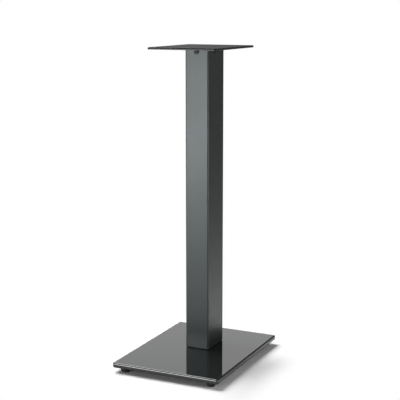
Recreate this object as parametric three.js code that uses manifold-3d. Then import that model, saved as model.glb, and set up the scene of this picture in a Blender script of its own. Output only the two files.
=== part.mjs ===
import * as THREE from 'three';
import { mergeVertices, toCreasedNormals } from 'three/addons/utils/BufferGeometryUtils.js';
import Module from 'manifold-3d';

// Speaker stand: a black glass base on four rubber feet, a rectangular steel column and a thin
// steel top plate. Millimetres, +Z up, origin on the floor under the middle of the base.
// The front of the stand faces -Y, its right side faces +X.

// Overall
const standHeight = 610; // floor to the upper face of the top plate

// Glass base
const baseWidth = 220;
const baseDepth = 290;
const baseThickness = 10;
const baseCornerRadius = 4;
const baseEdgeRound = 2;

// Rubber feet, each stuck to the glass with an adhesive disc
const footHeight = 8;
const footTopRadius = 10;
const footSoleRadius = 7.5;
const footEdgeRound = 1;
const footDishRadius = 4;
const footDishDepth = 1.5;
const footDishBevel = 0.75;
const footDiscThickness = 1;
const footDiscInset = 1;
const footSideInset = 20; // foot centre to the base's left or right edge
const footEndInset = 15; // foot centre to the base's front or rear edge

// Column, a rectangular steel tube set back from the middle of the base
const columnWidth = 49;
const columnDepth = 71;
const columnWall = 2;
const columnCornerRadius = 3;
const columnSetback = 34;
const footPlateThickness = 6; // welded into the tube, tapped for the base bolts
const columnGasketThickness = 1.5;
const columnGasketInset = 0.75;

// Clamp under the glass and the four bolts that pull the column down
const clampPlateWidth = 80;
const clampPlateDepth = 110;
const clampPlateThickness = 2.5;
const clampPlateCornerRadius = 6;
const clampGasketThickness = 1;
const boltSpacingX = 22;
const boltSpacingY = 46;
const boltEngagement = 5;
const bushWall = 2;
const baseBolt = {
  shankRadius: 3,
  tipChamfer: 0.6,
  headRadius: 5.25,
  headHeight: 3.3,
  crownRadius: 2.6,
  brimHeight: 0.55,
  socketAcross: 4,
  socketDepth: 2,
};

// Top plate
const topPlateWidth = 142;
const topPlateDepth = 178;
const topPlateThickness = 4;
const topPlateCornerRadius = 6;
const topPlateEdgeRound = 0.75;
const topPlateForward = 13; // plate centre ahead of the column's axis

// Cast fitting inside the column's mouth, between the column and the top plate
const fittingHeight = 16;
const fittingWall = 3.5;
const fittingWebThickness = 4;
const fittingBossRadius = 8;
const fittingRibThickness = 3;
const fittingRibHeight = 9;
const sideBossRadius = 5;
const sideBossReach = 10;
const spigotRadius = 2.5;
const spigotHeight = 2;
const spigotSpacing = 40;

// Centre screw through the top plate, countersunk flush
const topScrewRadius = 3;
const topScrewTipChamfer = 0.6;
const topScrewHeadRadius = 6;
const topScrewHeadDepth = 3.25;
const topScrewHeadLand = 0.25; // straight rim above the cone
const topScrewSink = 0.25;
const topScrewReach = 12;
const topScrewSocketAcross = 4;
const topScrewSocketDepth = 2;

// Screws through the column's four faces, just under the top plate
const columnScrewDrop = 5.5; // screw axis below the column's upper end
const columnScrewReach = 7;
const columnScrew = {
  shankRadius: 2.5,
  tipChamfer: 0.5,
  headRadius: 4.75,
  headHeight: 2.75,
  crownRadius: 2.4,
  brimHeight: 0.45,
  socketAcross: 3,
  socketDepth: 1.6,
};

// Cable holes in the column's rear face, each with a rubber grommet
const cableHoleRadius = 12;
const lowerCableHoleRise = 60; // hole centre above the column's lower end
const upperCableHoleDrop = 60; // hole centre below the column's upper end
const grommetBoreRadius = 8;
const grommetFlangeRadius = 15;
const grommetFlangeThickness = 2;
const grommetFlangeBevel = 1;
const grommetLipRadius = 13.5;
const grommetLipThickness = 1.5;

// Clearances and facets
const fitClearance = 0.3; // round and between pieces that pass through or slide into each other
const seatGap = 0.3; // under a screw head or grommet on the column's faces
const cutOverrun = 1; // how far a cutting solid runs past the face that it opens
const weldDistance = 1e-5; // vertices nearer than this are one vertex
const creaseAngle = Math.PI / 6; // edges sharper than this stay sharp in the shading
const cornerSegments = 5;
const edgeSegments = 3;
const roundSides = 24;
const screwSides = 18;

// Heights above the floor
const baseBottom = footHeight + footDiscThickness;
const baseTop = baseBottom + baseThickness;
const columnBottom = baseTop + columnGasketThickness;
const columnTop = standHeight - topPlateThickness;
const columnLength = columnTop - columnBottom;

// Sizes that follow from the fits
const boltHoleRadius = baseBolt.shankRadius + fitClearance;
const bushRadius = boltHoleRadius + bushWall;
const glassHoleRadius = bushRadius + fitClearance;
const clampStack = clampPlateThickness + clampGasketThickness;
const boltLength = clampStack + baseThickness + columnGasketThickness + boltEngagement;
const bolt = { ...baseBolt, shankLength: boltLength };
const sideScrew = { ...columnScrew, shankLength: seatGap + columnWall + columnScrewReach };
const sideHoleRadius = columnScrew.shankRadius + fitClearance;
const topHoleRadius = topScrewRadius + fitClearance;
const innerInset = columnWall + fitClearance;
const innerCornerRadius = Math.max(columnCornerRadius - innerInset, fitClearance);

const sides = [
  { name: 'front', turn: 0, faceDistance: columnDepth / 2 },
  { name: 'right', turn: Math.PI / 2, faceDistance: columnWidth / 2 },
  { name: 'rear', turn: Math.PI, faceDistance: columnDepth / 2 },
  { name: 'left', turn: -Math.PI / 2, faceDistance: columnWidth / 2 },
];
const rearSide = sides[2];

const cableHoles = [
  { name: 'lower', height: lowerCableHoleRise },
  { name: 'upper', height: columnLength - upperCableHoleDrop },
];

const corners = [
  { name: 'front_left', x: -1, y: -1 },
  { name: 'front_right', x: 1, y: -1 },
  { name: 'rear_left', x: -1, y: 1 },
  { name: 'rear_right', x: 1, y: 1 },
];

const materials = {
  glass: { color: 0x0b0d0d, roughness: 0.04, metalness: 0 },
  paint: { color: 0x24282a, roughness: 0.38, metalness: 0.2 },
  plate: { color: 0x1d1f20, roughness: 0.55, metalness: 0.2 },
  rubber: { color: 0x101111, roughness: 0.85, metalness: 0 },
  adhesive: { color: 0x1a1a1a, roughness: 0.7, metalness: 0 },
  nylon: { color: 0xd8d6cc, roughness: 0.5, metalness: 0 },
  casting: { color: 0x8c9092, roughness: 0.5, metalness: 0.9 },
  zinc: { color: 0x9a9fa3, roughness: 0.35, metalness: 0.9 },
  fastener: { color: 0x1b1c1e, roughness: 0.4, metalness: 0.7 },
};

const library = await Module();
library.setup();

// Boolean work

function toSolid(geometry) {
  const bare = geometry.index ? geometry.toNonIndexed() : geometry.clone();
  bare.deleteAttribute('normal');
  bare.deleteAttribute('uv');
  const merged = mergeVertices(bare, weldDistance);
  const kept = [];
  for (let i = 0; i < merged.index.count; i += 3) {
    const a = merged.index.getX(i);
    const b = merged.index.getX(i + 1);
    const c = merged.index.getX(i + 2);
    if (a !== b && b !== c && c !== a) kept.push(a, b, c);
  }
  const mesh = new library.Mesh({
    numProp: 3,
    vertProperties: new Float32Array(merged.attributes.position.array),
    triVerts: new Uint32Array(kept),
  });
  return new library.Manifold(mesh);
}

function toGeometry(solid) {
  const mesh = solid.getMesh();
  const geometry = new THREE.BufferGeometry();
  geometry.setAttribute('position', new THREE.BufferAttribute(mesh.vertProperties, 3));
  geometry.setIndex(new THREE.BufferAttribute(mesh.triVerts, 1));
  return toCreasedNormals(geometry, creaseAngle);
}

function cut(body, tools) {
  let solid = toSolid(body);
  for (const tool of tools) solid = solid.subtract(toSolid(tool));
  return toGeometry(solid);
}

// Basic shapes, all standing on z = 0

function roundedRectangle(width, depth, radius) {
  const x = width / 2 - radius;
  const y = depth / 2 - radius;
  const shape = new THREE.Shape();
  shape.absarc(x, -y, radius, -Math.PI / 2, 0);
  shape.absarc(x, y, radius, 0, Math.PI / 2);
  shape.absarc(-x, y, radius, Math.PI / 2, Math.PI);
  shape.absarc(-x, -y, radius, Math.PI, Math.PI * 1.5);
  return shape;
}

function slab(width, depth, radius, thickness) {
  const outline = roundedRectangle(width, depth, radius);
  return new THREE.ExtrudeGeometry(outline, {
    depth: thickness,
    bevelEnabled: false,
    curveSegments: cornerSegments,
  });
}

function roundEdgedSlab(width, depth, radius, thickness, edgeRound) {
  const outline = roundedRectangle(width, depth, radius);
  const geometry = new THREE.ExtrudeGeometry(outline, {
    depth: thickness - 2 * edgeRound,
    bevelThickness: edgeRound,
    bevelSize: edgeRound,
    bevelOffset: -edgeRound,
    bevelSegments: edgeSegments,
    curveSegments: cornerSegments,
  });
  return geometry.translate(0, 0, edgeRound);
}

function rod(radius, length, segments = roundSides) {
  const geometry = new THREE.CylinderGeometry(radius, radius, length, segments);
  return geometry.rotateX(Math.PI / 2).translate(0, 0, length / 2);
}

function hexRod(acrossFlats, length) {
  return rod(acrossFlats / Math.sqrt(3), length, 6);
}

function revolve(points, segments = roundSides) {
  const profile = points.map(([radius, height]) => new THREE.Vector2(radius, height));
  return new THREE.LatheGeometry(profile, segments).rotateX(Math.PI / 2);
}

// Turns a shape that stands along +Z to point inward through one face of the column, its foot at
// the given distance from the column's axis and the given height.
function throughFace(geometry, side, distance, height) {
  return geometry.rotateX(-Math.PI / 2).translate(0, -distance, height).rotateZ(side.turn);
}

// The four places of a rectangular pattern of bolts
function boltPlaces() {
  return corners.map(({ name, x, y }) => ({
    name,
    x: (x * boltSpacingX) / 2,
    y: (y * boltSpacingY) / 2,
  }));
}

function boltBores(radius, depth, offsetY = 0) {
  return boltPlaces().map(({ x, y }) => {
    const bore = rod(radius, depth + 2 * cutOverrun, screwSides);
    return bore.translate(x, y + offsetY, -cutOverrun);
  });
}

// Pieces

function basePlate() {
  const glass = roundEdgedSlab(
    baseWidth, baseDepth, baseCornerRadius, baseThickness, baseEdgeRound,
  );
  return cut(glass, boltBores(glassHoleRadius, baseThickness, columnSetback));
}

// A tapered bumper, sole at z = 0, with a shallow dish in the sole and a softened rim
function rubberFoot() {
  const rim = [];
  for (let i = 0; i <= edgeSegments; i++) {
    const angle = (i / edgeSegments) * (Math.PI / 2);
    const radius = footSoleRadius - footEdgeRound * (1 - Math.sin(angle));
    rim.push([radius, footEdgeRound * (1 - Math.cos(angle))]);
  }
  return toGeometry(toSolid(revolve([
    [0, footDishDepth],
    [footDishRadius, footDishDepth],
    [footDishRadius + footDishBevel, 0],
    ...rim,
    [footTopRadius, footHeight],
    [0, footHeight],
  ])));
}

function footDisc() {
  return rod(footTopRadius - footDiscInset, footDiscThickness);
}

function clampPad(thickness) {
  const pad = slab(clampPlateWidth, clampPlateDepth, clampPlateCornerRadius, thickness);
  return cut(pad, boltBores(boltHoleRadius, thickness));
}

function boltBush() {
  const sleeve = rod(bushRadius, baseThickness, screwSides);
  const bore = rod(boltHoleRadius, baseThickness + 2 * cutOverrun, screwSides);
  return cut(sleeve, [bore.translate(0, 0, -cutOverrun)]);
}

function columnGasket() {
  const pad = slab(
    columnWidth - 2 * columnGasketInset,
    columnDepth - 2 * columnGasketInset,
    columnCornerRadius,
    columnGasketThickness,
  );
  return cut(pad, boltBores(boltHoleRadius, columnGasketThickness));
}

function footPlate() {
  const plate = slab(
    columnWidth - 2 * innerInset,
    columnDepth - 2 * innerInset,
    innerCornerRadius,
    footPlateThickness,
  );
  return cut(plate, boltBores(boltHoleRadius, footPlateThickness));
}

function column() {
  const tube = slab(columnWidth, columnDepth, columnCornerRadius, columnLength);
  const hollow = slab(
    columnWidth - 2 * columnWall,
    columnDepth - 2 * columnWall,
    Math.max(columnCornerRadius - columnWall, fitClearance),
    columnLength + 2 * cutOverrun,
  ).translate(0, 0, -cutOverrun);
  const drillLength = columnWall + 2 * cutOverrun;
  const screwHoles = sides.map((side) => throughFace(
    rod(sideHoleRadius, drillLength, screwSides),
    side,
    side.faceDistance + cutOverrun,
    columnLength - columnScrewDrop,
  ));
  const wireHoles = cableHoles.map(({ height }) => throughFace(
    rod(cableHoleRadius + fitClearance, drillLength),
    rearSide,
    rearSide.faceDistance + cutOverrun,
    height,
  ));
  return cut(tube, [hollow, ...screwHoles, ...wireHoles]);
}

// Button-head screw along +Z: the head's seat lies at z = 0 and its dome below
function buttonScrew(size) {
  const { shankRadius, shankLength, tipChamfer } = size;
  const { headRadius, headHeight, crownRadius, brimHeight } = size;
  const dome = [];
  for (let i = 0; i <= edgeSegments; i++) {
    const angle = (i / edgeSegments) * (Math.PI / 2);
    const radius = crownRadius + (headRadius - crownRadius) * Math.sin(angle);
    dome.push([radius, -brimHeight - (headHeight - brimHeight) * Math.cos(angle)]);
  }
  const screw = revolve([
    [0, -headHeight],
    ...dome,
    [headRadius, 0],
    [shankRadius, 0],
    [shankRadius, shankLength - tipChamfer],
    [shankRadius - tipChamfer, shankLength],
    [0, shankLength],
  ], screwSides);
  const socket = hexRod(size.socketAcross, size.socketDepth + cutOverrun);
  return cut(screw, [socket.translate(0, 0, -headHeight - cutOverrun)]);
}

// Rubber ring along +Z: the outer flange below z = 0, the groove round the tube's wall above it
// and the lip inside the column
function grommet() {
  const grooveWidth = columnWall + 2 * seatGap;
  const bevelTop = -grommetFlangeThickness + grommetFlangeBevel;
  return toGeometry(toSolid(revolve([
    [grommetBoreRadius + grommetFlangeBevel, -grommetFlangeThickness],
    [grommetFlangeRadius - grommetFlangeBevel, -grommetFlangeThickness],
    [grommetFlangeRadius, bevelTop],
    [grommetFlangeRadius, 0],
    [cableHoleRadius, 0],
    [cableHoleRadius, grooveWidth],
    [grommetLipRadius, grooveWidth],
    [cableHoleRadius, grooveWidth + grommetLipThickness],
    [grommetBoreRadius, grooveWidth + grommetLipThickness],
    [grommetBoreRadius, bevelTop],
    [grommetBoreRadius + grommetFlangeBevel, -grommetFlangeThickness],
  ])));
}

// Ribbed casting that fills the column's mouth. Its upper face lies at z = 0, and the walls, the
// bosses and the ribs hang below it. Two spigots on top key the plate, so it can't turn.
function topFitting() {
  const width = columnWidth - 2 * innerInset;
  const depth = columnDepth - 2 * innerInset;
  const pocketHeight = fittingHeight - fittingWebThickness;
  const block = slab(width, depth, innerCornerRadius, fittingHeight);
  const pocket = slab(
    width - 2 * fittingWall,
    depth - 2 * fittingWall,
    innerCornerRadius,
    pocketHeight + cutOverrun,
  );
  let casting = toSolid(block.translate(0, 0, -fittingHeight));
  casting = casting.subtract(toSolid(pocket.translate(0, 0, -fittingHeight - cutOverrun)));
  const boss = rod(fittingBossRadius, fittingHeight - fittingWebThickness / 2);
  casting = casting.add(toSolid(boss.translate(0, 0, -fittingHeight)));
  for (const side of sides) {
    const outerFace = side.faceDistance - innerInset;
    const wallMiddle = outerFace - fittingWall / 2;
    const sideBoss = rod(sideBossRadius, sideBossReach - fittingWall / 2, screwSides);
    const rib = new THREE.BoxGeometry(fittingRibThickness, wallMiddle, fittingRibHeight);
    rib.translate(0, -wallMiddle / 2, -fittingWebThickness / 2 - fittingRibHeight / 2);
    rib.rotateZ(side.turn);
    casting = casting.add(toSolid(rib));
    casting = casting.add(toSolid(throughFace(sideBoss, side, wallMiddle, -columnScrewDrop)));
  }
  for (const end of [-1, 1]) {
    const spigot = rod(spigotRadius, spigotHeight + fittingWebThickness / 2, screwSides);
    spigot.translate(0, (end * spigotSpacing) / 2, -fittingWebThickness / 2);
    casting = casting.add(toSolid(spigot));
  }
  for (const side of sides) {
    const start = side.faceDistance - innerInset + cutOverrun;
    const bore = rod(sideHoleRadius, columnScrewReach + fitClearance + cutOverrun, screwSides);
    casting = casting.subtract(toSolid(throughFace(bore, side, start, -columnScrewDrop)));
  }
  const centreBore = rod(topHoleRadius, fittingHeight + 2 * cutOverrun, screwSides);
  return toGeometry(casting.subtract(
    toSolid(centreBore.translate(0, 0, -fittingHeight - cutOverrun)),
  ));
}

// Lower face at z = 0. The column's axis stands at y = topPlateForward in the plate's own frame.
function topPlate() {
  const sheet = roundEdgedSlab(
    topPlateWidth, topPlateDepth, topPlateCornerRadius, topPlateThickness, topPlateEdgeRound,
  );
  const bore = rod(topHoleRadius, topPlateThickness + 2 * cutOverrun, screwSides);
  const sinkBottom = topPlateThickness - topScrewSink - topScrewHeadDepth;
  const sink = revolve([
    [0, sinkBottom],
    [topHoleRadius, sinkBottom],
    [topScrewHeadRadius + fitClearance, topPlateThickness - topScrewSink],
    [topScrewHeadRadius + fitClearance, topPlateThickness + cutOverrun],
    [0, topPlateThickness + cutOverrun],
  ]);
  const pockets = [-1, 1].map((end) => {
    const pocket = rod(
      spigotRadius + fitClearance, spigotHeight + fitClearance + cutOverrun, screwSides,
    );
    return pocket.translate(0, topPlateForward + (end * spigotSpacing) / 2, -cutOverrun);
  });
  return cut(sheet, [
    bore.translate(0, topPlateForward, -cutOverrun),
    sink.translate(0, topPlateForward, 0),
    ...pockets,
  ]);
}

// Countersunk screw along -Z, the head's flat face at z = 0
function topScrew() {
  const shankEnd = -(topPlateThickness - topScrewSink) - topScrewReach;
  const screw = revolve([
    [0, shankEnd],
    [topScrewRadius - topScrewTipChamfer, shankEnd],
    [topScrewRadius, shankEnd + topScrewTipChamfer],
    [topScrewRadius, -topScrewHeadDepth],
    [topScrewHeadRadius, -topScrewHeadLand],
    [topScrewHeadRadius, 0],
    [0, 0],
  ]);
  const socket = hexRod(topScrewSocketAcross, topScrewSocketDepth + cutOverrun);
  return cut(screw, [socket.translate(0, 0, -topScrewSocketDepth)]);
}

// Assembly

function piece(name, geometry, finish, position = [0, 0, 0]) {
  const mesh = new THREE.Mesh(geometry, new THREE.MeshStandardMaterial(materials[finish]));
  mesh.name = name;
  mesh.position.set(...position);
  return mesh;
}

function feetAndBase() {
  const group = new THREE.Group();
  for (const { name, x, y } of corners) {
    const footX = x * (baseWidth / 2 - footSideInset);
    const footY = y * (baseDepth / 2 - footEndInset);
    group.add(piece(`foot_${name}`, rubberFoot(), 'rubber', [footX, footY, 0]));
    group.add(piece(`foot_disc_${name}`, footDisc(), 'adhesive', [footX, footY, footHeight]));
  }
  group.add(piece('base_plate', basePlate(), 'glass', [0, 0, baseBottom]));
  return group;
}

// Everything on the bolts' pattern, from the clamp under the glass to the foot of the column
function clampStackGroup() {
  const group = new THREE.Group();
  const clampPlateBottom = baseBottom - clampStack;
  const clampGasketBottom = baseBottom - clampGasketThickness;
  group.add(piece('clamp_plate', clampPad(clampPlateThickness), 'zinc', [0, 0, clampPlateBottom]));
  group.add(piece('clamp_gasket', clampPad(clampGasketThickness), 'rubber', [0, 0, clampGasketBottom]));
  group.add(piece('column_gasket', columnGasket(), 'rubber', [0, 0, baseTop]));
  for (const { name, x, y } of boltPlaces()) {
    group.add(piece(`base_bolt_${name}`, buttonScrew(bolt), 'zinc', [x, y, clampPlateBottom]));
    group.add(piece(`bolt_bush_${name}`, boltBush(), 'nylon', [x, y, baseBottom]));
  }
  group.position.y = columnSetback;
  return group;
}

function columnGroup() {
  const group = new THREE.Group();
  group.add(piece('column', column(), 'paint'));
  group.add(piece('column_foot_plate', footPlate(), 'plate'));
  group.add(piece('top_fitting', topFitting(), 'casting', [0, 0, columnLength]));
  for (const side of sides) {
    const face = new THREE.Group();
    const place = [0, -side.faceDistance - seatGap, columnLength - columnScrewDrop];
    const screw = piece(`column_screw_${side.name}`, buttonScrew(sideScrew), 'fastener', place);
    screw.rotation.x = -Math.PI / 2;
    face.add(screw);
    face.rotation.z = side.turn;
    group.add(face);
  }
  const rearFace = new THREE.Group();
  for (const { name, height } of cableHoles) {
    const place = [0, -rearSide.faceDistance - seatGap, height];
    const ring = piece(`cable_grommet_${name}`, grommet(), 'rubber', place);
    ring.rotation.x = -Math.PI / 2;
    rearFace.add(ring);
  }
  rearFace.rotation.z = rearSide.turn;
  group.add(rearFace);
  group.position.set(0, columnSetback, columnBottom);
  return group;
}

function topGroup() {
  const group = new THREE.Group();
  const screwSeat = topPlateThickness - topScrewSink;
  group.add(piece('top_plate', topPlate(), 'plate', [0, -topPlateForward, 0]));
  group.add(piece('top_plate_screw', topScrew(), 'fastener', [0, 0, screwSeat]));
  group.position.set(0, columnSetback, columnTop);
  return group;
}

const stand = new THREE.Group();
stand.add(feetAndBase());
stand.add(clampStackGroup());
stand.add(columnGroup());
stand.add(topGroup());

export default stand;
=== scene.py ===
import math

import bmesh
import bpy
from mathutils import Matrix, Vector


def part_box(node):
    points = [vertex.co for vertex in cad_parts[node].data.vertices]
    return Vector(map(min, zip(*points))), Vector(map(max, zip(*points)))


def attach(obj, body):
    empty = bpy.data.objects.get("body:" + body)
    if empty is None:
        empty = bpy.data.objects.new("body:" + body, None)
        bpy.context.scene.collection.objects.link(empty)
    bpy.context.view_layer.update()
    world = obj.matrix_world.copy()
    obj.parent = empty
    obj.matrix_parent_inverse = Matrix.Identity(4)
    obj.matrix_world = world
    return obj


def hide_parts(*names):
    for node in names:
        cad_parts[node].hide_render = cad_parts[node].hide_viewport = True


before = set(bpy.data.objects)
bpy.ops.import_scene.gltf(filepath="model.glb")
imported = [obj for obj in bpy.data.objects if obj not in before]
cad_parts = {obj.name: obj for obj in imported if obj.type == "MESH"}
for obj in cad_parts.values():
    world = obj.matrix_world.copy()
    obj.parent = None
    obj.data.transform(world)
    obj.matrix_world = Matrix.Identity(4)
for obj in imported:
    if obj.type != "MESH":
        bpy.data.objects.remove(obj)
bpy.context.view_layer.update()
scene = bpy.context.scene
mm = 0.001
quarterTurn = math.pi / 2
fullTurn = 2 * math.pi
print("frame loaded:", len(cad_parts), "solids")

corners = ("front_left", "front_right", "rear_left", "rear_right")


def middle(node):
    low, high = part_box(node)
    return (low + high) / 2


def nodeNames(stem, ends):
    return [stem + "_" + end for end in ends]


def addNode(tree, kind, inputs=None, **settings):
    node = tree.nodes.new(kind)
    for key, value in settings.items():
        setattr(node, key, value)
    for key, value in (inputs or {}).items():
        if isinstance(value, bpy.types.NodeSocket):
            tree.links.new(value, node.inputs[key])
        else:
            node.inputs[key].default_value = value
    return node


def calc(tree, operation, *values):
    inputs = dict(enumerate(values))
    return addNode(tree, "ShaderNodeMath", inputs, operation=operation).outputs[0]


def remap(tree, value, fromLow, fromHigh, toLow, toHigh, curve="LINEAR"):
    limits = {
        "Value": value, "From Min": fromLow, "From Max": fromHigh,
        "To Min": toLow, "To Max": toHigh,
    }
    return addNode(tree, "ShaderNodeMapRange", limits, interpolation_type=curve).outputs["Result"]


def splitAxes(tree, vector):
    return addNode(tree, "ShaderNodeSeparateXYZ", {"Vector": vector}).outputs


def joinAxes(tree, x, y, z):
    return addNode(tree, "ShaderNodeCombineXYZ", {"X": x, "Y": y, "Z": z}).outputs["Vector"]


def newObject(name, data):
    thing = bpy.data.objects.new(name, data)
    scene.collection.objects.link(thing)
    return thing


def bakeModifiers(thing):
    bpy.context.view_layer.update()
    depsgraph = bpy.context.evaluated_depsgraph_get()
    mesh = bpy.data.meshes.new_from_object(
        thing.evaluated_get(depsgraph), preserve_all_data_layers=True, depsgraph=depsgraph,
    )
    thing.modifiers.clear()
    mesh.name = thing.name
    thing.data = mesh


def smoothShade(thing, sharpDegrees=35, weighted=True):
    # smooth everywhere but at edges steeper than sharpDegrees; wide flats rule the normals
    sharpAngle = math.radians(sharpDegrees)
    mesh = bmesh.new()
    mesh.from_mesh(thing.data)
    bmesh.ops.recalc_face_normals(mesh, faces=mesh.faces)
    for face in mesh.faces:
        face.smooth = True
    for edge in mesh.edges:
        edge.smooth = len(edge.link_faces) == 2 and edge.calc_face_angle(0) < sharpAngle
    mesh.to_mesh(thing.data)
    mesh.free()
    if weighted:
        modifier = thing.modifiers.new("flatNormals", "WEIGHTED_NORMAL")
        modifier.keep_sharp = True
        modifier.weight = 100
        bakeModifiers(thing)


def mountPiece(thing, standsFor, material=None):
    if material:
        thing.data.materials.clear()
        thing.data.materials.append(material)
    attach(thing, "root")
    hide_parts(*standsFor)
    print("piece", thing.name, "made:", len(thing.data.polygons), "faces")


def pairsAround(loop):
    return zip(loop, loop[1:] + loop[:1])


def loopOf(mesh, points):
    verts = [mesh.verts.new(point) for point in points]
    for pair in pairsAround(verts):
        mesh.edges.new(pair)
    return verts


def bridgeLoops(mesh, first, second):
    for (a, b), (c, d) in zip(pairsAround(first), pairsAround(second)):
        mesh.faces.new((a, b, d, c))


def fillFlat(mesh, loops, facing):
    edges = [mesh.edges.get(pair) for loop in loops for pair in pairsAround(loop)]
    bmesh.ops.triangle_fill(
        mesh, use_beauty=True, use_dissolve=False, edges=edges, normal=(0, 0, facing),
    )


def roundedOutline(centre, half, radius, inset, height, steps):
    points = []
    reach = radius - inset
    for turn, (sx, sy) in enumerate([(1, -1), (1, 1), (-1, 1), (-1, -1)]):
        cx = centre.x + sx * (half.x - radius)
        cy = centre.y + sy * (half.y - radius)
        for i in range(steps + 1):
            angle = math.radians(90 * (turn - 1) + 90 * i / steps)
            points.append((cx + reach * math.cos(angle), cy + reach * math.sin(angle), height))
    return points


def circlePoints(centre, radius, height, count):
    angles = [fullTurn * i / count for i in range(count)]
    return [
        (centre[0] + radius * math.cos(angle), centre[1] + radius * math.sin(angle), height)
        for angle in angles
    ]


def roundEdge(radius, steps):
    # rows of (inset, drop) from the flat face to the side
    angles = [math.radians(90 * i / steps) for i in range(steps + 1)]
    return [
        (radius * (1 - math.sin(angle)), radius * (1 - math.cos(angle))) for angle in angles
    ]


def steepEdge(look):
    # rows as in roundEdge, for a round at the top, a flat that leans back by lean degrees, and
    # a soft turn into the side
    topRound, flat, sideRound = look["topRound"], look["flat"], look["sideRound"]
    lean = math.radians(look["lean"])
    roundSteps, turnSteps = 7, 4
    inset = sideRound * (1 - math.cos(lean)) + flat * math.sin(lean)
    depth = topRound * (1 - math.sin(lean)) + flat * math.cos(lean)
    rows = []
    for i in range(roundSteps + 1):
        angle = quarterTurn - (quarterTurn - lean) * i / roundSteps
        reach = topRound * (math.cos(lean) - math.cos(angle))
        rows.append((inset + reach, topRound * (1 - math.sin(angle))))
    for i in range(turnSteps + 1):
        angle = lean * (1 - i / turnSteps)
        fall = sideRound * (math.sin(lean) - math.sin(angle))
        rows.append((sideRound * (1 - math.cos(angle)), depth + fall))
    return rows


def roundedSlab(name, low, high, look, upperEdge, lowerEdge, holes):
    # holes: {"at": (x, y), "sides": count, "rings": [(radius, height), ...] from the top down,
    # "through": whether the hole opens at the top too}
    mesh = bmesh.new()
    centre = (low + high) / 2
    half = (high - low) / 2
    rings = [(inset, high.z - drop) for inset, drop in upperEdge]
    rings += [(inset, low.z + drop) for inset, drop in reversed(lowerEdge)]
    loops = [
        loopOf(mesh, roundedOutline(
            centre, half, look["cornerRadius"], inset, height, look["cornerSteps"],
        ))
        for inset, height in rings
    ]
    for above, below in zip(loops, loops[1:]):
        bridgeLoops(mesh, above, below)
    topLoops = [loops[0]]
    bottomLoops = [loops[-1]]
    for hole in holes:
        walls = [
            loopOf(mesh, circlePoints(hole["at"], radius, height, hole["sides"]))
            for radius, height in hole["rings"]
        ]
        for above, below in zip(walls, walls[1:]):
            bridgeLoops(mesh, above, below)
        bottomLoops.append(walls[-1])
        if hole["through"]:
            topLoops.append(walls[0])
        else:
            mesh.faces.new(walls[0])
    fillFlat(mesh, topLoops, 1)
    fillFlat(mesh, bottomLoops, -1)
    data = bpy.data.meshes.new(name)
    mesh.to_mesh(data)
    mesh.free()
    return newObject(name, data)


# turned pieces: one profile, spun and repeated by Geometry Nodes
weldDistance = 0.002 * mm


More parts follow.
